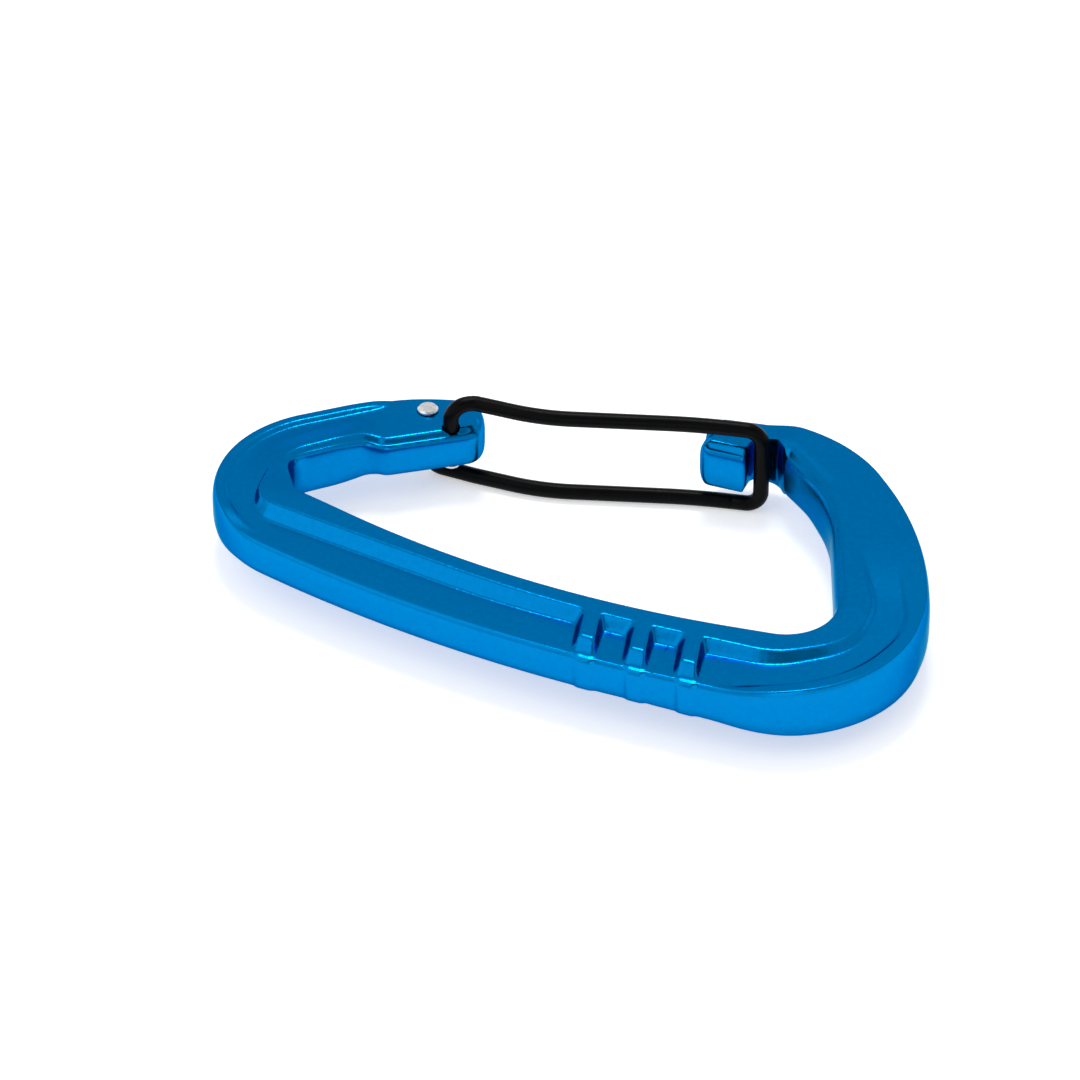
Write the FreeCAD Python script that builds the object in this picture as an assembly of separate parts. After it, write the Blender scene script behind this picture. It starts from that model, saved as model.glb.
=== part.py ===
import FreeCAD, Part
import math
import os

os.makedirs("parts", exist_ok=True)

# Wire-gate climbing carabiner: one hot-forged aluminium frame and one bent-wire gate.
# Millimetres.  Laid flat: +X from the narrow end to the wide rope end, +Y towards the
# gate side, +Z up.  The layout below has x = 0 at the narrow end and z = 0 on the
# parting plane; everything is moved to its final origin at the end.

# ---- driving dimensions: frame -------------------------------------------------
WEB_HALF = 2.65           # half thickness of the recessed web
ARM_HALF = 2.9            # half thickness of the hinge arm
RIM_HALF = 4.4            # half thickness of the raised inner rim and the nose plateau
LIP_HALF = 3.1            # half thickness of the thin outer lip round the narrow bend
ROPE_LIP_HALF = 3.6       # half thickness of the wide outer lip round the rope bend
HEAD_HALF = 3.5           # half thickness of the nose head that the gate closes over
RIB_HALF = 4.2            # half thickness of the three cross ribs
STEP_RUN = 1.1            # horizontal run of the sloped step from rim to web
LIP_WIDTH = 2.2           # width of the outer lip round the narrow bend
EDGE_BEVEL = 0.6          # bevel on every outer edge
RIB_PROUD = 0.4           # how far a rib stands proud of the spine's outer wall
RIB_WIDTH = 2.1
RIB_LENGTH = 12.0
RIB_REACH = 7.0           # how far a rib box reaches outwards from its middle
RIB_PITCH = 7.2           # rib spacing along the spine
RIB_LEAN = 12.0           # degrees each rib leans from square across the spine
RIB_FIRST = (61.6, -11.0)  # middle of the first rib

# ---- driving dimensions: gate --------------------------------------------------
WIRE_R = 1.1              # gate wire radius
LEG_Z = 6.2               # height of each leg's centre line above the parting plane
BEND_R = 2.2              # centre-line radius of the tight wire bends
LEG_BEND_R = 28.0         # centre-line radius of the shallow bend along each leg
PIN_A = (26.9, 27.5)      # hinge hole of the upper leg, which the gate turns about
PIN_B = (22.5, 29.9)      # hinge hole of the lower leg
LEG_START = (29.5, 29.5)  # where both legs come together in plan
LEG_KNEE = (38.5, 29.5)   # shallow bend of both legs
END_BAR = (69.2, 37.2)    # centre of the end bar in the nose notch
PART_X = 28.5             # where the lower leg's hinge end is parted from the rest
HOLE_CLEAR = 0.08         # radial running clearance of the upper pin
SWING_CLEAR = 0.20        # radial clearance of the lower pin, which drifts as it turns
SWING_SHIFT = 0.11        # offset of the lower hole towards the upper one, half that drift
PEEN_R = 1.45             # radius of a peened wire end
PEEN_H = 0.5              # height of a peened wire end
PEEN_BEVEL = 0.25
PEEN_GAP = 0.1            # play between a peened end and the frame's face
CUT_GAP = 0.3             # gap where the lower leg is parted

MIDDLE = (51.425, 13.647)  # middle of the whole object in plan

# Corner lists are (x, y, corner radius), counter-clockwise round the shape.
OUTLINE = [
    (29.2, 35.2, 4.4), (16.9, 32.0, 35.0), (-18.6, 2.0, 17.4), (39.7, -15.0, 205.7),
    (104.2, -16.0, 19.8), (102.5, 10.4, 23.3), (96.9, 25.9, 57.5), (78.9, 44.8, 23.5),
    (60.4, 42.1, 2.4), (60.4, 34.9, 1.9), (67.5, 34.9, 0.7), (67.6, 38.9, 1.1),
    (70.9, 38.9, 1.2), (72.8, 36.3, 0.9), (81.8, 29.1, 30.0), (87.6, 13.6, 30.0),
    (93.2, -1.9, 6.7), (83.9, -2.8, 29.5), (49.4, -6.1, 150.0), (13.2, 5.0, 2.0),
    (8.8, 12.1, 4.0), (17.2, 20.1, 2.0), (20.1, 20.4, 3.0), (31.5, 28.3, 3.2),
]
# The outer corners round the narrow bend alone, closed across the basket.
NARROW_BEND = [(60.0, 43.2, 1.0)] + OUTLINE[1:4] + [(60.0, -15.4, 1.0)]
# Region whose faces stand at full rim height: inner rim of the spine and rope bend,
# widening into the plain nose.  It runs on across the basket, where there is no metal.
RIM_ZONE = [
    (15.0, 12.0, 1.0), (5.8, 12.0, 1.0), (8.5, 0.6, 5.0), (55.5, -7.7, 176.0),
    (86.5, -7.1, 10.0), (95.8, -0.8, 9.0), (95.2, 8.0, 12.0), (86.4, 23.5, 3.0),
    (99.0, 28.0, 3.0), (99.0, 48.0, 1.0), (71.6, 48.0, 1.0), (71.6, 30.0, 1.0),
]
# Inside edge of the wide lip round the rope bend, closed across the basket.
ROPE_LIP_EDGE = [
    (60.0, -20.2, 1.0), (83.1, -14.0, 5.0), (96.3, -9.3, 17.5), (101.0, 4.8, 12.4),
    (97.0, 13.3, 19.0), (89.6, 31.5, 1.0), (60.0, 31.5, 1.0),
]
# Rectangles in plan: corner x, corner y, length, width.
ARM_AREA = (17.0, 16.0, 18.0, 20.0)     # the hinge arm
NARROW_AREA = (-2.0, -5.0, 18.0, 34.0)  # the narrow bend, as far as its lip runs
ROPE_AREA = (78.6, -18.0, 30.0, 48.0)   # the rope bend, as far as its lip runs
HEAD_AREA = (58.0, 32.0, 14.0, 12.0)    # the nose head


def offset_corners(corners, dist):
    """Corner list moved outwards by dist (inwards when negative)."""
    moved = []
    count = len(corners)
    for i in range(count):
        ax, ay, _ = corners[i - 1]
        bx, by, radius = corners[i]
        cx, cy, _ = corners[(i + 1) % count]
        len_1 = math.hypot(bx - ax, by - ay)
        len_2 = math.hypot(cx - bx, cy - by)
        d1x, d1y = (bx - ax) / len_1, (by - ay) / len_1
        d2x, d2y = (cx - bx) / len_2, (cy - by) / len_2
        turn = d1x * d2y - d1y * d2x
        scale = dist / (1.0 + d1x * d2x + d1y * d2y)
        new_radius = radius + dist if turn > 0 else radius - dist
        moved.append((bx + (d1y + d2y) * scale, by - (d1x + d2x) * scale, max(new_radius, 0.1)))
    return moved


def rounded_wire(corners, z):
    """Closed wire through the corners at height z, each corner an arc of its radius."""
    count = len(corners)
    arcs = []
    for i in range(count):
        a = FreeCAD.Vector(corners[i - 1][0], corners[i - 1][1], z)
        b = FreeCAD.Vector(corners[i][0], corners[i][1], z)
        c = FreeCAD.Vector(corners[(i + 1) % count][0], corners[(i + 1) % count][1], z)
        into = (b - a).normalize()
        away = (c - b).normalize()
        half = into.getAngle(away) / 2
        radius = corners[i][2]
        reach = radius * math.tan(half)
        inward = (away - into).normalize()
        middle = b + inward * (radius / math.cos(half) - radius)
        arcs.append((b - into * reach, middle, b + away * reach))
    edges = []
    for i in range(count):
        edges.append(Part.LineSegment(arcs[i - 1][2], arcs[i][0]).toShape())
        edges.append(Part.Arc(*arcs[i]).toShape())
    return Part.Wire(edges)


def prism(corners, half):
    """Plain prism between -half and +half."""
    face = Part.Face(rounded_wire(corners, -half))
    return face.extrude(FreeCAD.Vector(0, 0, 2 * half))


def bevelled(corners, half, bevel):
    """Prism between -half and +half with a bevel round both faces."""
    small = offset_corners(corners, -bevel)
    wires = [
        rounded_wire(small, -half),
        rounded_wire(corners, bevel - half),
        rounded_wire(corners, half - bevel),
        rounded_wire(small, half),
    ]
    return Part.makeLoft(wires, True, True)


def block(area, half):
    """Block over a rectangle in plan, between -half and +half."""
    x, y, length, width = area
    return Part.makeBox(length, width, 2 * half, FreeCAD.Vector(x, y, -half))


def flared(corners, half, run, waist):
    """Prism whose outline grows by run from the faces down to +-waist."""
    wide = offset_corners(corners, run)
    wires = [
        rounded_wire(corners, -half),
        rounded_wire(wide, -waist),
        rounded_wire(wide, waist),
        rounded_wire(corners, half),
    ]
    return Part.makeLoft(wires, True, True)


def round_bar(start, end, radius):
    """Straight round bar between two points."""
    span = end - start
    return Part.makeCylinder(radius, span.Length, start, span)


def bent_wire(points, bend_radii, wire_radius):
    """Round wire along the points, bent to the given radius at each inner point."""
    knots = [FreeCAD.Vector(*p) for p in points]
    pieces = []
    start = knots[0]
    for i, radius in enumerate(bend_radii, 1):
        into = (knots[i] - knots[i - 1]).normalize()
        away = (knots[i + 1] - knots[i]).normalize()
        turn = into.getAngle(away)
        bend_start = knots[i] - into * (radius * math.tan(turn / 2))
        pieces.append(round_bar(start, bend_start, wire_radius))
        axis = into.cross(away).normalize()
        centre = bend_start + axis.cross(into) * radius
        disc = Part.Face(Part.Wire([Part.makeCircle(wire_radius, bend_start, into)]))
        pieces.append(disc.revolve(centre, axis, math.degrees(turn)))
        start = knots[i] + away * (radius * math.tan(turn / 2))
    pieces.append(round_bar(start, knots[-1], wire_radius))
    return pieces[0].multiFuse(pieces[1:]).removeSplitter()


def peened_head(centre, base_z, direction):
    """Domed disc left where a wire end is hammered over."""
    base = FreeCAD.Vector(centre[0], centre[1], base_z)
    head = Part.makeCylinder(PEEN_R, PEEN_H, base, FreeCAD.Vector(0, 0, direction))
    rim = [e for e in head.Edges if abs(e.BoundBox.ZMin - base_z - direction * PEEN_H) < 1e-6
           and abs(e.BoundBox.ZLength) < 1e-6]
    return head.makeChamfer(PEEN_BEVEL, rim)


# ---- frame forging -------------------------------------------------------------
frame = bevelled(OUTLINE, WEB_HALF, EDGE_BEVEL)

raised = bevelled(OUTLINE, RIM_HALF, EDGE_BEVEL)
frame = frame.fuse(raised.common(flared(RIM_ZONE, RIM_HALF, STEP_RUN, WEB_HALF)))

lip_edge = offset_corners(NARROW_BEND, -LIP_WIDTH)
lip = bevelled(OUTLINE, LIP_HALF, EDGE_BEVEL).cut(prism(lip_edge, RIM_HALF))
frame = frame.fuse(lip.common(block(NARROW_AREA, RIM_HALF)))

rope_lip = bevelled(OUTLINE, ROPE_LIP_HALF, EDGE_BEVEL).cut(prism(ROPE_LIP_EDGE, RIM_HALF))
frame = frame.fuse(rope_lip.common(block(ROPE_AREA, RIM_HALF)))

nose_head = bevelled(OUTLINE, HEAD_HALF, EDGE_BEVEL)
frame = frame.fuse(nose_head.common(block(HEAD_AREA, RIM_HALF)))

rib_skin = bevelled(offset_corners(OUTLINE, RIB_PROUD), RIB_HALF, 2 * EDGE_BEVEL)
for i in range(3):
    rib = block((-RIB_WIDTH / 2, -RIB_REACH, RIB_WIDTH, RIB_LENGTH), RIB_HALF)
    rib.rotate(FreeCAD.Vector(0, 0, 0), FreeCAD.Vector(0, 0, 1), RIB_LEAN)
    rib.translate(FreeCAD.Vector(RIB_FIRST[0] + i * RIB_PITCH, RIB_FIRST[1], 0))
    frame = frame.fuse(rib_skin.common(rib))

# The hinge arm is flat and a little thicker than the web.
arm = bevelled(OUTLINE, ARM_HALF, EDGE_BEVEL).common(block(ARM_AREA, RIM_HALF))
frame = frame.cut(block(ARM_AREA, RIM_HALF)).fuse(arm)

# The gate turns about the upper pin.  The lower pin drifts a little towards it and back
# as the gate opens, so the lower hole is wider and set off by half of that drift.
span = math.hypot(PIN_B[0] - PIN_A[0], PIN_B[1] - PIN_A[1])
lower_hole = (PIN_B[0] + (PIN_A[0] - PIN_B[0]) * SWING_SHIFT / span,
              PIN_B[1] + (PIN_A[1] - PIN_B[1]) * SWING_SHIFT / span)
for centre, clearance in ((PIN_A, HOLE_CLEAR), (lower_hole, SWING_CLEAR)):
    low = FreeCAD.Vector(centre[0], centre[1], -RIM_HALF)
    high = FreeCAD.Vector(centre[0], centre[1], RIM_HALF)
    frame = frame.cut(round_bar(low, high, WIRE_R + clearance))
frame = frame.removeSplitter()

# ---- gate wire -----------------------------------------------------------------
# One bent wire.  The hinge end of its lower leg is a node of its own, because in use the
# leg flexes so that both ends turn in their own holes.
pin_tip = ARM_HALF + PEEN_GAP
gate = bent_wire([
    (PIN_A[0], PIN_A[1], -pin_tip), (PIN_A[0], PIN_A[1], LEG_Z),
    (LEG_START[0], LEG_START[1], LEG_Z), (LEG_KNEE[0], LEG_KNEE[1], LEG_Z),
    (END_BAR[0], END_BAR[1], LEG_Z), (END_BAR[0], END_BAR[1], -LEG_Z),
    (LEG_KNEE[0], LEG_KNEE[1], -LEG_Z), (PART_X, LEG_START[1], -LEG_Z),
], [BEND_R, BEND_R, LEG_BEND_R, BEND_R, BEND_R, LEG_BEND_R], WIRE_R)
lower_end = bent_wire([
    (PART_X - CUT_GAP, LEG_START[1], -LEG_Z), (PIN_B[0], PIN_B[1], -LEG_Z),
    (PIN_B[0], PIN_B[1], pin_tip),
], [BEND_R], WIRE_R)

shapes = {
    "frame_forging": frame,
    "gate_wire": gate,
    "gate_wire_lower_end": lower_end,
    "lower_end_head": peened_head(PIN_B, pin_tip, 1),
    "upper_end_head": peened_head(PIN_A, -pin_tip, -1),
}

# Final origin: middle of the overall box in plan, at the height of its lowest point.
box = FreeCAD.BoundBox()
for shape in shapes.values():
    box.add(shape.optimalBoundingBox(True, False))
print("layout box", box)
shift = FreeCAD.Vector(-MIDDLE[0], -MIDDLE[1], LEG_Z + WIRE_R)
for name, shape in shapes.items():
    shape.translate(shift)
    shape.exportStep("parts/" + name + ".step")
    print(name, shape.isValid(), len(shape.Solids), round(shape.Volume, 1))
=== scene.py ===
import math

import bpy
import numpy as np
from mathutils import Matrix, Vector
from mathutils.geometry import delaunay_2d_cdt


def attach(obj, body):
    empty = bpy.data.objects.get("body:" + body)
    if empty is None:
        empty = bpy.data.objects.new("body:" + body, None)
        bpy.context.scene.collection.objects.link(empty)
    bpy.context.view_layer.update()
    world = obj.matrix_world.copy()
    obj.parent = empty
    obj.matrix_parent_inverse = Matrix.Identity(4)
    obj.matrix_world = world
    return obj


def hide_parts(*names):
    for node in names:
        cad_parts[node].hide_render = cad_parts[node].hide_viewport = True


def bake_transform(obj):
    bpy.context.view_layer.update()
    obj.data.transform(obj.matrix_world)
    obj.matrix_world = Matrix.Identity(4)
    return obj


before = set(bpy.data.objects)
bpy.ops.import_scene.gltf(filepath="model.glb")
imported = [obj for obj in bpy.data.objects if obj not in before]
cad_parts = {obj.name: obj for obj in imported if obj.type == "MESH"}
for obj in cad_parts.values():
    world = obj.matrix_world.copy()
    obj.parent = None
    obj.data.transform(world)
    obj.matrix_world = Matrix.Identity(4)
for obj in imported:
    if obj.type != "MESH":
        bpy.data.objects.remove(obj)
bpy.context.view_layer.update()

# Wire-gate carabiner.  Millimetres in the layout frame of the part: x = 0 at the narrow
# end, z = 0 on the parting plane, +Y towards the gate.  to_row() gives row-frame metres.
MM = 0.001
MIDDLE = (51.425, 13.647)  # middle of the object in plan
WIRE_R = 1.1
LEG_Z = 6.2                # height of the gate legs above the parting plane
REST_Z = LEG_Z + WIRE_R    # height of the parting plane above the floor

# ---- frame dimensions ----------------------------------------------------------
WEB_HALF = 2.65            # half thickness of the recessed web
ARM_HALF = 2.9             # half thickness of the hinge arm
RIM_HALF = 4.4             # raised inner rim, ribs and plain nose
LIP_HALF = 3.1             # thin outer lip round the narrow bend
ROPE_LIP_HALF = 3.6        # wide outer lip round the rope bend
HEAD_HALF = 3.5            # nose head inside the gate
SPINE_RUN = 1.5            # run of the sloped step beside the rim, along the plain spine
POCKET_RUN = 1.15          # run of the same step between and beyond the ribs
NARROW_RUN = 0.6           # run of the same step round the two bends
STEP_EASE = 0.2            # rounding at the top and foot of the long slopes
LIP_WIDTH = 1.7
LIP_RUN = 0.6
CORNER_BLEND = 1.1         # fillet in plan between ribs and rim
RIB_COUNT = 3
RIB_WIDTH = 2.1
RIB_PITCH = 7.2
RIB_LEAN = math.radians(12.0)
RIB_FIRST = (61.6, -11.0)
RIB_PROUD = 0.35           # how far a rib stands out of the outer wall
RIB_PROUD_DEPTH = 1.5      # this fades out over that depth inside the outline
RIB_PROUD_INSET = 0.3      # and sideways from this far inside the rib's edge
RIB_PROUD_RUN = 0.9        # over this width
RIB_SOFT_RUN = 0.9         # run of the rib flank on the narrow side
RIB_CRISP_RUN = 0.5        # run of the other flank
RIB_END_INSET = 0.55       # a rib reaches the web this far inside the outline
RIB_END_RUN = 2.3          # and its outer end rises from there over this length
SWELL = 0.65               # height of the soft rim round the narrow bend, as a share
SWELL_WIDTH = 7.0
FACET_EDGE = (74.5, 37.9)  # a point on the edge where the facet meets the nose plateau
FACET_DIR = (-0.64, -0.77)  # the facet falls this way, towards the notch corner
FACET_SLOPE = 0.27
FACET_SOFTNESS = 0.3       # rounding of the facet's edge
BEND_MIDDLE = (80.0, 8.0)  # the rope bend turns about this point
ROLL_WIDTH = 2.2           # width of the rolled inner edge on the rope and nose side
ROLL_DROP = 1.1
ARM_CHAMFER = 1.35         # chamfer on the inner edge of the hinge arm
HEAD_CHAMFER = 1.5         # chamfer on the basket side of the nose head
HEAD_CORNER = (60.4, 34.9)  # corner of the nose head next to the basket
HOLE_GAP_A, HOLE_GAP_B = 0.08, 0.2  # play of the wire in the two hinge holes
PIN_A = (26.9, 27.5)       # hinge hole of the upper leg
PIN_B = (22.5, 29.9)       # hinge hole of the lower leg

# Zones of the height field.  A pair is (start, end) of a smooth fade along x or y, and a
# larger start means that the zone fades in towards smaller values.
NARROW_X = 30.0            # the narrow bend lies below this x
ARM_X = 40.0               # the hinge arm lies below this x
ROPE_X = 70.0              # rope bend and nose lie above this x
CHANNEL_X = 72.0           # the rope channel fills up above this x
FACET_X = 71.0             # the facet lies above this x
RIB_TOP_Y = -3.0           # ribs lie below this y
RIB_REACH = 9.0            # length of the proud part of a rib
NO_RIB = 9.0               # stands for "far from every rib"
RIB_NEAR = (1.6, 0.8)      # flank runs beside a rib
RIB_END_Y = (-8.0, -10.0)
RIB_STEP_X = (45.0, 63.0)  # the step narrows from spine to ribs
STEP_BEND_Y = (3.0, -1.5)  # the step widens from the bends to the spine
RIM_FADE_Y = (2.0, 16.0)   # the rim fades out at the back of the narrow bend
SWELL_X, SWELL_Y = (13.0, 21.0), (-2.0, 6.0)
ARM_FADE_X, ARM_FADE_Y = (12.0, 20.0), (13.0, 17.0)
LIP_X, LIP_Y = (18.5, 14.5), (-5.0, -1.0)
ROPE_LIP_X = (80.0, 93.0)
NOSE_TURN = (-10.0, 140.0)  # degrees round the rope bend over which its channel fills up
NOSE_TURN_MIN = -30.0
NOSE_FILL_Y = (9.0, 23.0)
HEAD_FROM = (58.0, 33.0)   # the nose head lies beyond this point
HEAD_RISE_X = (67.5, 73.5)  # from the head up to the nose plateau
HEAD_CHAMFER_END = (67.4, 38.5)
FACET_Y = (30.0, 34.0)
CHAMFER_X, CHAMFER_Y = (3.0, 7.0), (10.0, 13.0)
ROLL_Y = (3.0, 11.0)

# Corner lists are (x, y, corner radius), counter-clockwise.
OUTLINE = [
    (29.2, 35.2, 4.4), (16.9, 32.0, 35.0), (-18.6, 2.0, 17.4), (39.7, -15.0, 205.7),
    (104.2, -16.0, 19.8), (102.5, 10.4, 23.3), (96.9, 25.9, 57.5), (78.9, 44.8, 23.5),
    (60.4, 42.1, 2.4), (60.4, 34.9, 1.9), (67.5, 34.9, 0.7), (67.6, 38.9, 1.1),
    (70.9, 38.9, 1.2), (72.8, 36.3, 0.9), (81.8, 29.1, 30.0), (87.6, 13.6, 30.0),
    (93.2, -1.9, 6.7), (83.9, -2.8, 29.5), (49.4, -6.1, 150.0), (13.2, 5.0, 2.0),
    (8.8, 12.1, 4.0), (17.2, 20.1, 2.0), (20.1, 20.4, 3.0), (31.5, 28.3, 3.2),
]
OUTER_CORNERS = 9          # the first corners run round the outer side
INNER_CORNER = 13          # from this corner on they run round the basket
RIM_ZONE = [
    (15.0, 20.0, 1.0), (5.8, 20.0, 1.0), (8.5, 0.6, 5.0), (55.5, -7.7, 176.0),
    (86.5, -7.1, 10.0), (95.8, -0.8, 9.0), (95.2, 8.0, 12.0), (86.4, 23.5, 3.0),
    (99.0, 28.0, 3.0), (99.0, 48.0, 1.0), (71.6, 48.0, 1.0), (71.6, 30.0, 1.0),
]
ROPE_LIP_EDGE = [
    (60.0, -20.2, 1.0), (83.1, -14.0, 5.0), (96.3, -9.3, 17.5), (101.0, 4.8, 12.4),
    (97.0, 13.3, 19.0), (89.6, 31.5, 1.0), (60.0, 31.5, 1.0),
]
# Wall section: (distance inside the outline, share of the local half thickness).
WALL = [
    (0.0, 0.0), (0.0, 0.22), (0.015, 0.40), (0.05, 0.54), (0.10, 0.66), (0.16, 0.75),
    (0.20, 0.80), (0.25, 0.845), (0.33, 0.90), (0.41, 0.95), (0.47, 0.98), (0.54, 0.995),
    (0.64, 1.0),
]
# Extra mesh lines, by distance outside RIM_ZONE and ROPE_LIP_EDGE and inside OUTLINE.
RIM_LINES = (-0.12, 0.0, 0.12, 0.3, 0.48, 0.6, 0.72, 1.0, 1.3, 1.58, 1.7, 1.85)
ROPE_LINES = (-0.1, 0.0, 0.1, 0.45, 0.8, 0.9, 1.0)
EDGE_LINES = (0.8, 1.0, 1.2, 1.35, 1.5, 1.7, 1.85, 2.0, 2.15, 2.3)
OUTLINE_STEP = 0.35        # mesh spacing along each line
RIM_STEP = 0.35
ROPE_STEP = 0.4
RIM_LINE_STEP = 0.9        # coarser spacing of the lines that distances are taken to
ROPE_LINE_STEP = 0.8
GRID_STEP = 0.3
ROW_RATIO = 0.866          # row spacing that makes the grid's triangles nearly equal-sided
GRID_X, GRID_Y = (-1.0, 105.0), (-18.0, 44.0)
EDGE_CLEARANCE = 0.16      # free of mesh points beside the walls and the holes
HOLE_CLEARANCE = 0.15
HOLE_SIDES = 40


# ---- plan geometry -------------------------------------------------------------
def offset_corners(corners, dist):
    """Corner list moved outwards by dist (inwards when negative)."""
    moved = []
    count = len(corners)
    for i in range(count):
        ax, ay, _ = corners[i - 1]
        bx, by, radius = corners[i]
        cx, cy, _ = corners[(i + 1) % count]
        len_1 = math.hypot(bx - ax, by - ay)
        len_2 = math.hypot(cx - bx, cy - by)
        d1x, d1y = (bx - ax) / len_1, (by - ay) / len_1
        d2x, d2y = (cx - bx) / len_2, (cy - by) / len_2
        turn = d1x * d2y - d1y * d2x
        scale = dist / (1.0 + d1x * d2x + d1y * d2y)
        new_radius = radius + dist if turn > 0 else radius - dist
        moved.append((bx + (d1y + d2y) * scale, by - (d1x + d2x) * scale, max(new_radius, 0.1)))
    return moved


def corner_arc(a, b, c, radius, steps):
    """Points of the arc that rounds corner b between a and c (2-D or 3-D vectors)."""
    into, away = (b - a).normalized(), (c - b).normalized()
    half = into.angle(away) / 2
    if half < 1e-4:
        return [b.copy()]
    reach = radius * math.tan(half)
    centre = b + (away - into).normalized() * (radius / math.cos(half))
    start, end = b - into * reach - centre, b + away * reach - centre
    full = math.sin(2 * half)
    return [centre + (start * math.sin(2 * half * (1 - k / steps))
                      + end * math.sin(2 * half * k / steps)) / full
            for k in range(steps + 1)]


def loop_counts(corners, step):
    """How many steps each corner arc and each straight edge of the loop gets."""
    counts = []
    count = len(corners)
    for i in range(count):
        a = Vector(corners[i - 1][:2])
        b = Vector(corners[i][:2])
        c = Vector(corners[(i + 1) % count][:2])
        angle = (b - a).angle(c - b)
        counts.append((max(4, int(angle * corners[i][2] / step)),
                       max(1, int((c - b).length / step / 2))))
    return counts


def loop_points(corners, counts):
    """Closed polyline with the same number of points for every offset of one corner list."""
    count = len(corners)
    arcs = []
    for i in range(count):
        a = Vector(corners[i - 1][:2])
        b = Vector(corners[i][:2])
        c = Vector(corners[(i + 1) % count][:2])
        arcs.append(corner_arc(a, b, c, corners[i][2], counts[i][0]))
    points = []
    for i in range(count):
        points += arcs[i]
        start, end = arcs[i][-1], arcs[(i + 1) % count][0]
        steps = counts[i][1]
        points += [start.lerp(end, k / steps) for k in range(1, steps)]
    return np.array([tuple(p) for p in points])


def distance(points, line, closed=True):
    """Distance of each point to the polyline."""
    a = line if closed else line[:-1]
    b = np.roll(line, -1, axis=0) if closed else line[1:]
    ab = b - a
    length_2 = np.maximum((ab ** 2).sum(1), 1e-12)
    out = np.empty(len(points))
    for k in range(0, len(points), 2000):
        ap = points[k:k + 2000, None, :] - a[None]
        t = np.clip((ap * ab[None]).sum(2) / length_2[None], 0, 1)
        gap = ap - t[..., None] * ab[None]
        out[k:k + 2000] = np.sqrt((gap ** 2).sum(2).min(1))
    return out


def inside(points, line):
    """True for each point inside the closed polyline."""
    x, y = points[:, 0], points[:, 1]
    result = np.zeros(len(points), bool)
    for (ax, ay), (bx, by) in zip(line, np.roll(line, -1, axis=0)):
        if ay == by:
            continue
        crosses = ((ay > y) != (by > y)) & (x < (bx - ax) * (y - ay) / (by - ay) + ax)
        result ^= crosses
    return result


def signed(points, line):
    """Distance outside the closed polyline, negative inside."""
    return np.where(inside(points, line), -1.0, 1.0) * distance(points, line)


def smooth(t):
    """0 below t = 0, 1 above t = 1, smooth between."""
    t = np.clip(t, 0, 1)
    return t * t * (3 - 2 * t)


def fade(value, start, end):
    """0 at start, 1 at end, smooth between; end may be the smaller one."""
    return smooth((value - start) / (end - start))


def ramp(t, ease=0.12):
    """Straight ramp from 0 to 1 with eased corners."""
    t = np.clip(t, -ease, 1 + ease)
    low = np.where(t < ease, (t + ease) ** 2 / (4 * ease), t)
    return np.where(t > 1 - ease, 1 - (1 - t + ease) ** 2 / (4 * ease), low)


def soft_positive(t, width=0.12):
    """t where positive, 0 where negative, rounded over width and lowered by 1/20 of it."""
    return 0.5 * (t + np.sqrt(t * t + width * width)) - width * 0.05


def soft_min(a, b, width):
    """Smaller of a and b, rounded over width where they meet."""
    h = np.clip(0.5 + 0.5 * (b - a) / width, 0, 1)
    return b * (1 - h) + a * h - width * h * (1 - h)


# ---- height of the frame's faces -----------------------------------------------
outline_counts = loop_counts(OUTLINE, OUTLINE_STEP)
outline = loop_points(OUTLINE, outline_counts)
outer_side = outline[:sum(n + m for n, m in outline_counts[:OUTER_CORNERS])]
inner_side = outline[sum(n + m for n, m in outline_counts[:INNER_CORNER]):]
rim_line = loop_points(RIM_ZONE, loop_counts(RIM_ZONE, RIM_LINE_STEP))
rope_line = loop_points(ROPE_LIP_EDGE, loop_counts(ROPE_LIP_EDGE, ROPE_LINE_STEP))


def rib_coordinates(points, index):
    """Across and along coordinates of each point from the middle of a rib."""
    x = points[:, 0] - RIB_FIRST[0] - index * RIB_PITCH
    y = points[:, 1] - RIB_FIRST[1]
    across = x * math.cos(RIB_LEAN) + y * math.sin(RIB_LEAN)
    along = -x * math.sin(RIB_LEAN) + y * math.cos(RIB_LEAN)
    return across, along


def step_run(points):
    """Run of the step beside the rim: wide along the spine, narrow round the bends."""
    x, y = points[:, 0], points[:, 1]
    wide = SPINE_RUN + (POCKET_RUN - SPINE_RUN) * fade(x, *RIB_STEP_X)
    return NARROW_RUN + (wide - NARROW_RUN) * fade(y, *STEP_BEND_Y)


def beside_ribs(points):
    """Distance beside the nearest rib in units of its flank's run, negative on a rib."""
    nearest = np.full(len(points), NO_RIB)
    for i in range(RIB_COUNT):
        across, _ = rib_coordinates(points, i)
        run = np.where(across < 0, RIB_SOFT_RUN, RIB_CRISP_RUN)
        beside = (np.abs(across) - RIB_WIDTH / 2) / run
        nearest = np.minimum(nearest, np.where(points[:, 1] < RIB_TOP_Y, beside, NO_RIB))
    return nearest


def rim_share(points, from_outer):
    """1 on the rim and the ribs, 0 on the web, with the sloped step between."""
    x, y = points[:, 0], points[:, 1]
    ribs = beside_ribs(points)
    beyond = soft_min(signed(points, rim_line) / step_run(points), ribs, CORNER_BLEND)
    rib_end = smooth((from_outer - RIB_END_INSET) / RIB_END_RUN)
    ended = fade(ribs, *RIB_NEAR) * (1 - rib_end) * fade(y, *RIB_END_Y)
    share = (1 - ramp(beyond, STEP_EASE)) * (1 - ended)
    return share * np.where(x < NARROW_X, 1 - fade(y, *RIM_FADE_Y), 1.0)


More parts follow.
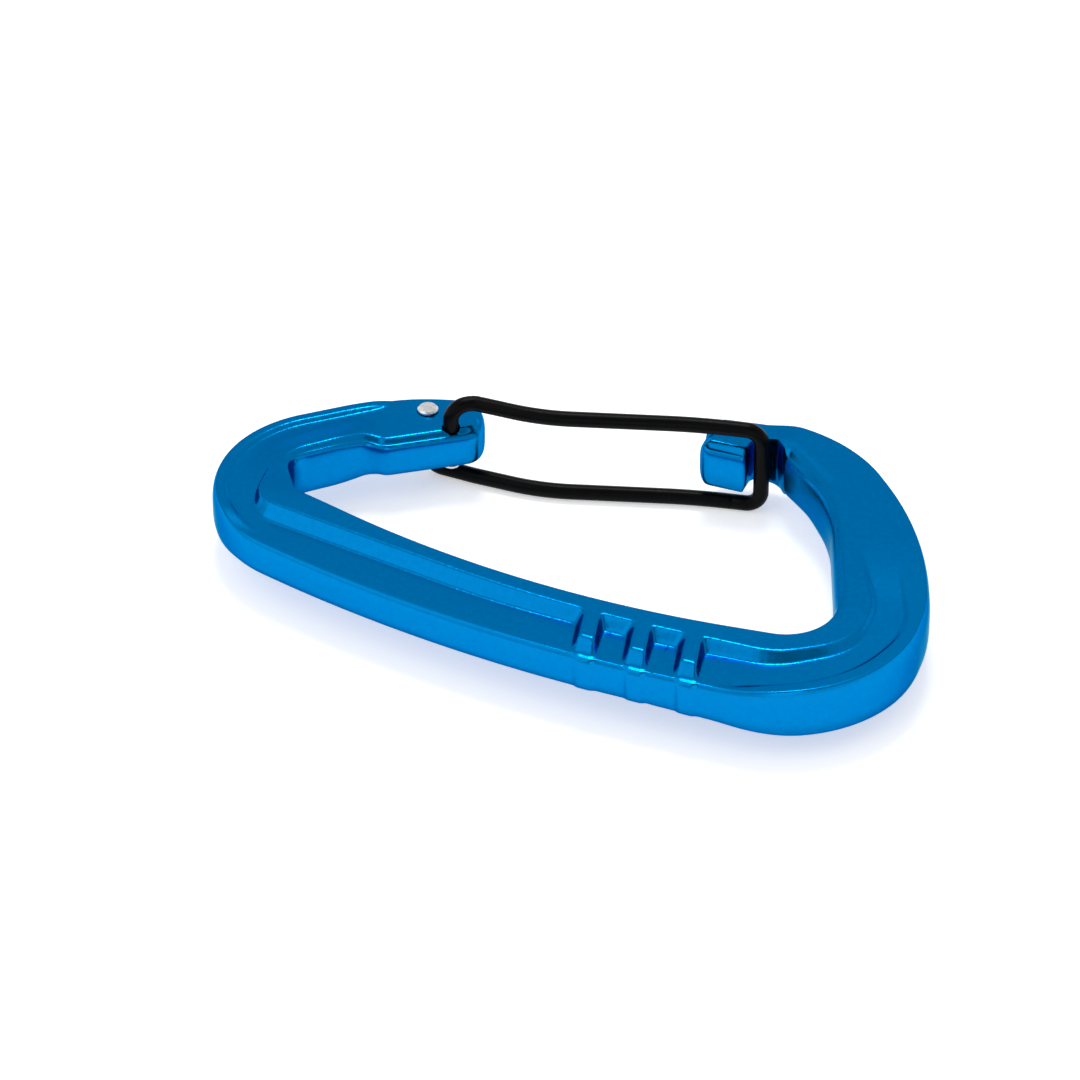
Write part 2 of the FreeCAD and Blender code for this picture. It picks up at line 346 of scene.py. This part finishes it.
def body_level(points, from_outer, from_inner):
    """Half thickness of web, rim, ribs and hinge arm."""
    x, y = points[:, 0], points[:, 1]
    # Round the narrow bend the rim stands at the inner edge and falls off gently.
    swell = SWELL * (1 - fade(from_inner, 0, SWELL_WIDTH)) * (1 - fade(x, *SWELL_X))
    swell = swell * fade(y, *SWELL_Y)
    share = np.maximum(rim_share(points, from_outer), np.where(x < NARROW_X, swell, 0.0))
    rise = (RIM_HALF - WEB_HALF) * share
    arm = (ARM_HALF - WEB_HALF) * fade(x, *ARM_FADE_X) * fade(y, *ARM_FADE_Y)
    return np.maximum(WEB_HALF + rise, WEB_HALF + np.where(x < ARM_X, arm, 0.0))


def add_lips(level, points, from_outer):
    """Raises the outer lips round the narrow bend and the rope bend."""
    x, y = points[:, 0], points[:, 1]
    width = 1 - ramp((from_outer - LIP_WIDTH) / LIP_RUN)
    lip = (LIP_HALF - WEB_HALF) * (fade(x, *LIP_X) * fade(y, *LIP_Y)) * width
    level = np.maximum(level, WEB_HALF + lip)
    rope_width = ramp(signed(points, rope_line) / LIP_RUN)
    rope_lip = (ROPE_LIP_HALF - WEB_HALF) * fade(x, *ROPE_LIP_X) * rope_width
    return np.maximum(level, WEB_HALF + np.where(x > ROPE_X, rope_lip, 0.0))


def fill_nose(level, points):
    """Fills the rope channel up to the plateau of the plain nose."""
    x, y = points[:, 0], points[:, 1]
    turn = np.degrees(np.arctan2(x - BEND_MIDDLE[0], BEND_MIDDLE[1] - y))
    filled = ramp((turn - NOSE_TURN[0]) / (NOSE_TURN[1] - NOSE_TURN[0]), STEP_EASE)
    filled = np.where((x > CHANNEL_X) & (turn > NOSE_TURN_MIN), filled, 0.0)
    filled = 1 - (1 - filled) * (1 - fade(y, *NOSE_FILL_Y) * (x > CHANNEL_X))
    return level + (RIM_HALF - level) * filled


def lower_head(level, points):
    """Lowers the nose head inside the gate and cuts the facet beside the notch."""
    x, y = points[:, 0], points[:, 1]
    head = (x > HEAD_FROM[0]) & (y > HEAD_FROM[1])
    to_nose = HEAD_HALF + (RIM_HALF - HEAD_HALF) * fade(x, *HEAD_RISE_X)
    capped = np.minimum(np.where(x < HEAD_RISE_X[1], RIM_HALF, level), to_nose)
    level = np.where(head, capped, level)
    past = (x - FACET_EDGE[0]) * FACET_DIR[0] + (y - FACET_EDGE[1]) * FACET_DIR[1]
    facet = RIM_HALF - FACET_SLOPE * soft_positive(past, FACET_SOFTNESS) * fade(y, *FACET_Y)
    return np.where(x > FACET_X, np.minimum(level, facet), level)


def bevels(points, from_inner):
    """Depth of the bevels on the basket side of the hinge arm and the nose head."""
    x, y = points[:, 0], points[:, 1]
    on_arm = fade(x, *CHAMFER_X) * fade(y, *CHAMFER_Y) * (x < ARM_X)
    to_head = np.minimum(y - HEAD_CORNER[1], x - HEAD_CORNER[0])
    on_head = (x > HEAD_FROM[0]) & (y > HEAD_FROM[1])
    on_head = on_head & (x < HEAD_CHAMFER_END[0]) & (y < HEAD_CHAMFER_END[1])
    return (on_arm * soft_positive(ARM_CHAMFER - from_inner)
            + soft_positive(HEAD_CHAMFER - to_head) * on_head)


def face_levels(points):
    """Heights of the upper and the lower face from the parting plane.

    The bevels are on the upper face only.
    """
    from_outer = distance(points, outer_side, closed=False)
    from_inner = distance(points, inner_side, closed=False)
    level = body_level(points, from_outer, from_inner)
    level = add_lips(level, points, from_outer)
    level = fill_nose(level, points)
    level = lower_head(level, points)
    # The inner edge is rolled over on the rope and nose side.
    roll = 1 - fade(from_inner, 0, ROLL_WIDTH)
    on_nose = fade(points[:, 1], *ROLL_Y) * (points[:, 0] > ROPE_X)
    level = level - ROLL_DROP * roll * roll * on_nose
    return level - bevels(points, from_inner), level


# ---- mesh helpers --------------------------------------------------------------
def to_row(points):
    """Layout millimetres to row-frame metres."""
    shift = np.array([-MIDDLE[0], -MIDDLE[1], REST_Z])
    return (np.asarray(points, float) + shift) * MM


def make_object(name, vertices, faces):
    """Smooth-shaded mesh object from layout millimetres."""
    mesh = bpy.data.meshes.new(name)
    mesh.from_pydata([tuple(v) for v in to_row(vertices)], [], [tuple(f) for f in faces])
    mesh.validate()
    mesh.shade_smooth()
    obj = bpy.data.objects.new(name, mesh)
    bpy.context.scene.collection.objects.link(obj)
    return obj


def face_grid():
    """Staggered grid of points over the frame's plan."""
    xs = np.arange(*GRID_X, GRID_STEP)
    ys = np.arange(*GRID_Y, GRID_STEP * ROW_RATIO)
    gx, gy = np.meshgrid(xs, ys)
    gx[1::2] += GRID_STEP / 2
    return np.column_stack([gx.ravel(), gy.ravel()])


def rib_skin(points, depth):
    """Pushes points at that depth inside the outline outwards where ribs stand proud."""
    moved = points.copy()
    depth_share = 1 - smooth(depth / RIB_PROUD_DEPTH)
    for i in range(RIB_COUNT):
        across, along = rib_coordinates(points, i)
        beside = np.abs(across) - RIB_WIDTH / 2 + RIB_PROUD_INSET
        bump = RIB_PROUD * (1 - smooth(beside / RIB_PROUD_RUN))
        bump = np.where((along < 0) & (along > -RIB_REACH), bump, 0.0)
        moved[:, 1] -= bump * depth_share
    return moved


def mesh_lines(corners, offsets, counts):
    """Points along offsets of a corner list."""
    return np.vstack([loop_points(offset_corners(corners, d), counts) for d in offsets])


def hinge_holes():
    """Centre, radius and circle of points of each hinge hole."""
    holes = []
    turns = np.linspace(0, 2 * math.pi, HOLE_SIDES, endpoint=False)
    for centre, radius in ((PIN_A, WIRE_R + HOLE_GAP_A), (PIN_B, WIRE_R + HOLE_GAP_B)):
        circle = np.column_stack([centre[0] + radius * np.cos(turns),
                                  centre[1] + radius * np.sin(turns)])
        holes.append((centre, radius, circle))
    return holes


def face_points(inner, holes):
    """Mesh points of the face, clear of its inner loop and of the holes."""
    cloud = np.vstack([
        mesh_lines(RIM_ZONE, RIM_LINES, loop_counts(RIM_ZONE, RIM_STEP)),
        mesh_lines(ROPE_LIP_EDGE, ROPE_LINES, loop_counts(ROPE_LIP_EDGE, ROPE_STEP)),
        mesh_lines(OUTLINE, [-d for d in EDGE_LINES], outline_counts),
        face_grid(),
    ])
    cloud = cloud[inside(cloud, inner)]
    cloud = cloud[distance(cloud, inner) > EDGE_CLEARANCE]
    for centre, radius, _ in holes:
        away = np.hypot(cloud[:, 0] - centre[0], cloud[:, 1] - centre[1])
        cloud = cloud[away > radius + HOLE_CLEARANCE]
    return cloud


def triangulated(inner, circles, cloud):
    """Plan points and upward-facing triangles between the inner loop and the circles."""
    coords = [Vector(p) for p in np.vstack([inner] + circles + [cloud])]
    edges = []
    start = 0
    for loop in [inner] + circles:
        count = len(loop)
        edges += [(start + k, start + (k + 1) % count) for k in range(count)]
        start += count
    flat, _, tris, _, _, _ = delaunay_2d_cdt(coords, edges, [], 0, 1e-5)
    flat = np.array([tuple(p) for p in flat])
    tris = np.array(tris)
    middle = flat[tris].mean(axis=1)
    keep = inside(middle, inner)
    for circle in circles:
        keep &= ~inside(middle, circle)
    tris = tris[keep]
    # Counter-clockwise triangles face up.
    a, b, c = flat[tris[:, 0]], flat[tris[:, 1]], flat[tris[:, 2]]
    clockwise = np.cross(b - a, c - a) < 0
    tris[clockwise] = tris[clockwise][:, ::-1]
    return flat, tris


def wall_vertices(loops, inner, first):
    """Vertices of the wall loops, and the number of each loop's first vertex.

    Loops are numbered from the first number given; both sides share the outermost one.
    """
    vertices = []
    start = {}
    for sign, level in zip((1, -1), face_levels(inner)):
        for k in range(0 if sign > 0 else 1, len(WALL) - 1):
            inset, share = WALL[k]
            start[(sign, k)] = first + len(vertices)
            plan = rib_skin(loops[k], inset)
            vertices += list(np.column_stack([plan, sign * share * level]))
    start[(-1, 0)] = start[(1, 0)]
    return vertices, start


def build_frame():
    """Forged frame: graded wall loops and a triangulated face above and below."""
    loops = [loop_points(offset_corners(OUTLINE, -inset), outline_counts) for inset, _ in WALL]
    inner = loops[-1]
    ring = len(inner)
    holes = hinge_holes()
    circles = [circle for _, _, circle in holes]
    flat, tris = triangulated(inner, circles, face_points(inner, holes))

    plan = rib_skin(flat, distance(flat, outer_side, closed=False))
    upper, lower = face_levels(flat)
    vertices = list(np.column_stack([plan, upper])) + list(np.column_stack([plan, -lower]))
    base = len(flat)
    faces = [tuple(t) for t in tris] + [tuple(base + i for i in t[::-1]) for t in tris]
    walls, start = wall_vertices(loops, inner, len(vertices))
    vertices += walls

    lookup = {tuple(np.round(p, 4)): i for i, p in enumerate(flat)}
    inner_ids = np.array([lookup[tuple(np.round(p, 4))] for p in inner])
    for sign, shift in ((1, 0), (-1, base)):
        rings = [start[(sign, k)] + np.arange(ring) for k in range(len(WALL) - 1)]
        rings.append(inner_ids + shift)
        for near, far in zip(rings, rings[1:]):
            for j in range(ring):
                n = (j + 1) % ring
                quad = (near[j], near[n], far[n], far[j])
                faces.append(quad if sign > 0 else quad[::-1])
    # Hole walls join the two faces.
    for circle in circles:
        ids = [lookup[tuple(np.round(p, 4))] for p in circle]
        for j in range(len(ids)):
            n = (j + 1) % len(ids)
            faces.append((ids[n], ids[n] + base, ids[j] + base, ids[j]))
    return make_object("frame_anodised", np.array(vertices), faces)


def rounded_path(points, radii, arc_step=0.25):
    """3-D polyline through the points with each inner corner rounded."""
    knots = [Vector(p) for p in points]
    path = [knots[0]]
    for i, radius in enumerate(radii, 1):
        angle = (knots[i] - knots[i - 1]).angle(knots[i + 1] - knots[i])
        steps = max(6, int(angle * radius / arc_step))
        path += corner_arc(knots[i - 1], knots[i], knots[i + 1], radius, steps)
    path.append(knots[-1])
    return path


def tube(name, path, radius, sides=28):
    """Round wire swept along the path, closed at both ends."""
    tangents = []
    for i in range(len(path)):
        tangents.append((path[min(i + 1, len(path) - 1)] - path[max(i - 1, 0)]).normalized())
    normal = tangents[0].orthogonal().normalized()
    vertices, faces = [], []
    for i, (point, tangent) in enumerate(zip(path, tangents)):
        if i:
            normal = (normal - tangent * normal.dot(tangent)).normalized()
        side = tangent.cross(normal)
        for k in range(sides):
            turn = 2 * math.pi * k / sides
            offset = normal * math.cos(turn) + side * math.sin(turn)
            vertices.append(tuple(point + offset * radius))
    for i in range(len(path) - 1):
        for k in range(sides):
            n = (k + 1) % sides
            faces.append((i * sides + k, i * sides + n, (i + 1) * sides + n, (i + 1) * sides + k))
    faces.append(tuple(range(sides))[::-1])
    faces.append(tuple((len(path) - 1) * sides + k for k in range(sides)))
    return make_object(name, np.array(vertices), faces)


# ---- materials -----------------------------------------------------------------
def new_material(name):
    """Material with its node tree and its shader."""
    material = bpy.data.materials.new(name)
    material.use_nodes = True
    tree = material.node_tree
    return material, tree, tree.nodes["Principled BSDF"]


def noise(tree, scale, detail=3.0):
    """Noise in object space; scale is in repeats per metre."""
    coordinates = tree.nodes.new("ShaderNodeTexCoord")
    texture = tree.nodes.new("ShaderNodeTexNoise")
    texture.inputs["Scale"].default_value = scale
    texture.inputs["Detail"].default_value = detail
    tree.links.new(coordinates.outputs["Object"], texture.inputs["Vector"])
    return texture.outputs["Fac"]


def ranged(tree, source, low, high):
    """Maps a 0.3 to 0.7 noise value onto low to high."""
    node = tree.nodes.new("ShaderNodeMapRange")
    node.inputs["From Min"].default_value = 0.3
    node.inputs["From Max"].default_value = 0.7
    node.inputs["To Min"].default_value = low
    node.inputs["To Max"].default_value = high
    tree.links.new(source, node.inputs["Value"])
    return node.outputs["Result"]


def mixed(tree, factor, first, second):
    """Blends two colours by factor."""
    node = tree.nodes.new("ShaderNodeMix")
    node.data_type = "RGBA"
    node.inputs["A"].default_value = (*first, 1)
    node.inputs["B"].default_value = (*second, 1)
    tree.links.new(factor, node.inputs["Factor"])
    return node.outputs["Result"]


def bumped(tree, shader, source, distance_mm, strength):
    """Bump of the shader's normal by the source."""
    node = tree.nodes.new("ShaderNodeBump")
    node.inputs["Distance"].default_value = distance_mm * MM
    node.inputs["Strength"].default_value = strength
    tree.links.new(source, node.inputs["Height"])
    tree.links.new(node.outputs["Normal"], shader.inputs["Normal"])


def anodised_material():
    """Blue anodised aluminium with a very fine grain."""
    material, tree, shader = new_material("anodised_blue")
    shader.inputs["Metallic"].default_value = 1.0
    shader.inputs["Specular Tint"].default_value = (0.0, 0.45, 0.6, 1)
    tone = ranged(tree, noise(tree, 1400), 0.0, 1.0)
    colour = mixed(tree, tone, (0.0003, 0.180, 0.490), (0.0003, 0.196, 0.530))
    tree.links.new(colour, shader.inputs["Base Color"])
    tree.links.new(ranged(tree, noise(tree, 2600), 0.22, 0.25), shader.inputs["Roughness"])
    bumped(tree, shader, noise(tree, 6000), 0.01, 0.08)
    return material


def wire_material():
    """Black coated steel wire."""
    material, tree, shader = new_material("black_wire")
    tone = ranged(tree, noise(tree, 700), 0.0, 1.0)
    colour = mixed(tree, tone, (0.0006, 0.0006, 0.0007), (0.0014, 0.0014, 0.0016))
    tree.links.new(colour, shader.inputs["Base Color"])
    shader.inputs["Metallic"].default_value = 0.0
    shader.inputs["Specular IOR Level"].default_value = 0.07
    tree.links.new(ranged(tree, noise(tree, 2500), 0.30, 0.42), shader.inputs["Roughness"])
    bumped(tree, shader, noise(tree, 4000), 0.01, 0.2)
    return material


def head_material():
    """Bare steel, dented where the wire end is peened over."""
    material, tree, shader = new_material("bare_steel")
    shader.inputs["Metallic"].default_value = 1.0
    tone = ranged(tree, noise(tree, 1500), 0.0, 1.0)
    colour = mixed(tree, tone, (0.62, 0.62, 0.63), (0.80, 0.80, 0.81))
    tree.links.new(colour, shader.inputs["Base Color"])
    tree.links.new(ranged(tree, noise(tree, 3000), 0.22, 0.38), shader.inputs["Roughness"])
    bumped(tree, shader, noise(tree, 1800), 0.03, 0.25)
    return material


# ---- frame ---------------------------------------------------------------------
body = build_frame()
body.data.materials.append(anodised_material())
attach(body, "frame")
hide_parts("frame_forging")

# ---- gate wire -----------------------------------------------------------------
PIN_TIP = ARM_HALF + 0.1
BEND_R = 2.2
LEG = [(29.5, 29.5), (39.5, 29.5), (60.5, 35.7), (69.2, 37.2)]
LEG_RADII = [BEND_R, 30.0, 80.0]
JOIN = (LEG[-1][0] - 6.0, LEG[-1][1] - 1.05)  # where the two tubes meet on the lower leg
black = wire_material()


def at_height(points, z):
    """Plan points as 3-D points at height z."""
    return [(x, y, z) for x, y in points]


upper_points = ([(*PIN_A, -PIN_TIP), (*PIN_A, LEG_Z)] + at_height(LEG, LEG_Z)
                + at_height([LEG[-1], JOIN], -LEG_Z))
upper = tube("gate_loop", rounded_path(
    upper_points, [BEND_R] + LEG_RADII + [BEND_R, BEND_R]), WIRE_R)
upper.data.materials.append(black)
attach(upper, "gate")
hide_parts("gate_wire")

lower_points = (at_height([JOIN] + LEG[-2::-1], -LEG_Z)
                + [(*PIN_B, -LEG_Z), (*PIN_B, PIN_TIP)])
lower = tube("gate_lower_leg", rounded_path(
    lower_points, LEG_RADII[:0:-1] + [BEND_R, BEND_R]), WIRE_R)
lower.data.materials.append(black)
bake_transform(lower)
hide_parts("gate_wire_lower_end")

steel = head_material()
for node in ("upper_end_head", "lower_end_head"):
    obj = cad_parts[node]
    obj.data.materials.clear()
    obj.data.materials.append(steel)

# ---- camera, floor and light ---------------------------------------------------
LENS = 218.3               # mm
VIEW_AZIMUTH = math.radians(20.8)
VIEW_ELEVATION = math.radians(36.5)
VIEW_DISTANCE = 889.9      # mm from the aim point
AIM = Vector((51.5, 9.0, 0.0))
AIM_RIGHT, AIM_UP = 4.076, -2.038  # mm by which the picture's centre misses the aim point
FLOOR_SIZE = 6.0           # m
KEY_HEIGHT = math.radians(69.0)
KEY_SIZE, KEY_POWER = 0.26, 3.0  # m, W
OPEN_SKY = (0.68, 0.68, 0.68)
LOW_SKY = (1.05, 1.05, 1.05)
LOW_SKY_TOP, LOW_SKY_FULL = 0.30, 0.12  # sine of the height where the low sky ends and is full
# Round patches of the studio sky: turn to the left of the camera, height, radius of
# the soft edge and of the even middle (all in degrees), brightness.
SKY_PATCHES = [
    (68.0, 38.0, 34.0, 20.0, 1.3),
    (0.0, 18.0, 18.0, 9.0, 1.6),
    (-8.0, 54.0, 26.0, 14.0, 0.32),
]

sight = Vector((-math.sin(VIEW_AZIMUTH) * math.cos(VIEW_ELEVATION),
                math.cos(VIEW_AZIMUTH) * math.cos(VIEW_ELEVATION),
                -math.sin(VIEW_ELEVATION)))
right = Vector((math.cos(VIEW_AZIMUTH), math.sin(VIEW_AZIMUTH), 0.0))
up = right.cross(sight)
eye = AIM - VIEW_DISTANCE * sight - AIM_RIGHT * right - AIM_UP * up
camera = bpy.data.objects.new("camera", bpy.data.cameras.new("camera"))
camera.data.lens = LENS
camera.data.clip_start, camera.data.clip_end = 0.01, 20.0
camera.rotation_mode = "QUATERNION"
camera.rotation_quaternion = Matrix((right, up, -sight)).transposed().to_quaternion()
camera.location = Vector(to_row([tuple(eye)])[0])
bpy.context.scene.collection.objects.link(camera)
bpy.context.scene.camera = camera

bpy.ops.mesh.primitive_plane_add(size=FLOOR_SIZE)
floor = bpy.context.object
floor.name = "floor"
floor_material, _, floor_shader = new_material("pale_floor")
floor_shader.inputs["Base Color"].default_value = (0.9, 0.9, 0.9, 1)
floor_shader.inputs["Roughness"].default_value = 0.9
floor_shader.inputs["Emission Color"].default_value = (1.0, 1.0, 1.0, 1)
floor_shader.inputs["Emission Strength"].default_value = 0.45
floor.data.materials.append(floor_material)


def softbox(name, place, aim, size, power):
    """Square area light, in row-frame metres."""
    data = bpy.data.lights.new(name, "AREA")
    data.size = size
    data.energy = power
    light = bpy.data.objects.new(name, data)
    light.location = place
    light.rotation_euler = (Vector(aim) - Vector(place)).to_track_quat("-Z", "Y").to_euler()
    bpy.context.scene.collection.objects.link(light)
    return light


FAR = Vector((-math.sin(VIEW_AZIMUTH), math.cos(VIEW_AZIMUTH), 0.0))  # away from camera
key = softbox("key", FAR * math.cos(KEY_HEIGHT) + Vector((0, 0, math.sin(KEY_HEIGHT))),
              (0, 0, 0), KEY_SIZE, KEY_POWER)


def studio_world():
    """Even grey studio sky with a bright band near the horizon and round patches."""
    studio = bpy.data.worlds.new("studio")
    studio.use_nodes = True
    tree = studio.node_tree
    direction = tree.nodes.new("ShaderNodeTexCoord").outputs["Generated"]

    def along(vector, low, high):
        """Mask of the sky: 0 where its direction along vector is low, 1 where high."""
        dot = tree.nodes.new("ShaderNodeVectorMath")
        dot.operation = "DOT_PRODUCT"
        dot.inputs[1].default_value = vector
        tree.links.new(direction, dot.inputs[0])
        node = tree.nodes.new("ShaderNodeMapRange")
        node.interpolation_type = "SMOOTHSTEP"
        node.inputs["From Min"].default_value = low
        node.inputs["From Max"].default_value = high
        tree.links.new(dot.outputs["Value"], node.inputs["Value"])
        return node.outputs["Result"]

    def toward(turn, height):
        """Direction at that turn to the left of the camera and that height, in degrees."""
        turn, height = math.radians(turn), math.radians(height)
        level = -FAR * math.cos(turn) - right * math.sin(turn)
        return tuple(level * math.cos(height) + Vector((0, 0, math.sin(height))))

    sky = mixed(tree, along((0, 0, 1), LOW_SKY_TOP, LOW_SKY_FULL), OPEN_SKY, LOW_SKY)
    for turn, height, edge, core, value in SKY_PATCHES:
        cos_edge, cos_core = math.cos(math.radians(edge)), math.cos(math.radians(core))
        patch = along(toward(turn, height), cos_edge, cos_core)
        layer = tree.nodes.new("ShaderNodeMix")
        layer.data_type = "RGBA"
        layer.inputs["B"].default_value = (value, value, value, 1)
        tree.links.new(patch, layer.inputs["Factor"])
        tree.links.new(sky, layer.inputs["A"])
        sky = layer.outputs["Result"]
    tree.links.new(sky, tree.nodes["Background"].inputs["Color"])
    return studio


bpy.context.scene.world = studio_world()
bpy.context.scene.view_settings.view_transform = "Standard"
